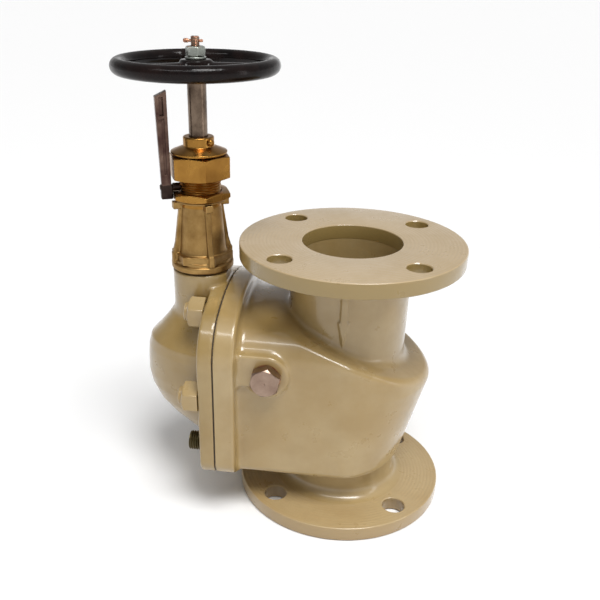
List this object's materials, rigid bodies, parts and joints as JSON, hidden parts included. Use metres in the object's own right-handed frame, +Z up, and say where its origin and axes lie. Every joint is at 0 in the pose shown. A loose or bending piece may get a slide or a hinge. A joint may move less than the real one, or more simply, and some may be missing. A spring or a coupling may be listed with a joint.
{
  "type": "storm valve",
  "caption": "Flanged vertical storm valve for a hull outlet: hinged flap under a sloping seat, bolted domed cover, screw-down stem with lock lever and handwheel.",
  "frame": {"origin": "under the middle of the whole assembly, in the outlet flange's face", "axes": "+Z up along the pipe axis from outlet to inlet, +X from the domed cover towards the chamber's round end, +Y to the rear"},
  "size_m": [0.275, 0.18, 0.3765],
  "materials": {
    "beige_paint": "satin",
    "bronze": "dull cast and machined bronze",
    "bright_brass": "machined",
    "polished_steel": "polished",
    "dark_steel": "oiled",
    "zinc_plate": "zinc plated",
    "copper": "copper coloured",
    "black_enamel": "gloss",
    "gasket_rubber": "matt",
    "graphite_packing": "matt"
  },
  "bodies": {
    "valve": {"body": "beige_paint", "cover": "beige_paint", "cover_gasket": "gasket_rubber", "cover_stud_1": "beige_paint", "cover_stud_2": "beige_paint", "cover_stud_3": "beige_paint", "cover_stud_4": "beige_paint", "cover_nut_1": "beige_paint", "cover_nut_2": "beige_paint", "cover_nut_3": "beige_paint", "cover_nut_4": "beige_paint", "lower_stud_front": "dark_steel", "lower_stud_rear": "dark_steel", "hinge_pin": "polished_steel", "hinge_plug_front": "zinc_plate", "hinge_plug_rear": "zinc_plate", "plug_washer_front": "copper", "plug_washer_rear": "copper", "seat_ring": "bronze", "bonnet": "bronze", "bonnet_gasket": "gasket_rubber", "packing_ring_1": "graphite_packing", "packing_ring_2": "graphite_packing", "packing_ring_3": "graphite_packing", "gland_follower": "bronze", "gland_nut": "bright_brass", "jam_nut": "bright_brass"},
    "flap": {"flap_disc": "bronze", "flap_facing": "gasket_rubber", "flap_arm": "bronze", "flap_washer": "bronze", "flap_nut": "bronze"},
    "lock": {"lock_screw": "dark_steel", "lock_lever": "polished_steel"},
    "presser": {"presser_foot": "bronze"},
    "spindle": {"stem": "polished_steel", "stop_collar": "bright_brass", "collar_set_screw": "bright_brass", "handwheel": "black_enamel", "wheel_washer": "zinc_plate", "wheel_nut": "zinc_plate", "split_pin": "copper"}
  },
  "joints": [
    {"name": "stem_lift", "type": "slide", "parent": "valve", "child": "presser", "axis": [0, 0, 1], "range_m": [0, 0.0302]},
    {"name": "wheel_turn", "type": "hinge", "parent": "presser", "child": "spindle", "pos_m": [-0.075, 0, 0.2003], "axis": [0, 0, 1], "range_deg": [0, 2160]},
    {"name": "flap_swing", "type": "hinge", "parent": "valve", "child": "flap", "pos_m": [-0.0098, 0, 0.139], "axis": [0, 1, 0], "range_deg": [0, 26.5]},
    {"name": "lock_swing", "type": "hinge", "parent": "valve", "child": "lock", "pos_m": [-0.075, 0, 0.2681], "axis": [-0.9135, -0.4067, 0], "range_deg": [0, 90]}
  ],
  "couplings": [
    {"joint": "stem_lift", "follows": "wheel_turn", "m_per_rad": 0.00079577},
    {"joint": "flap_swing", "follows": "wheel_turn", "ratio": 0.0122}
  ]
}
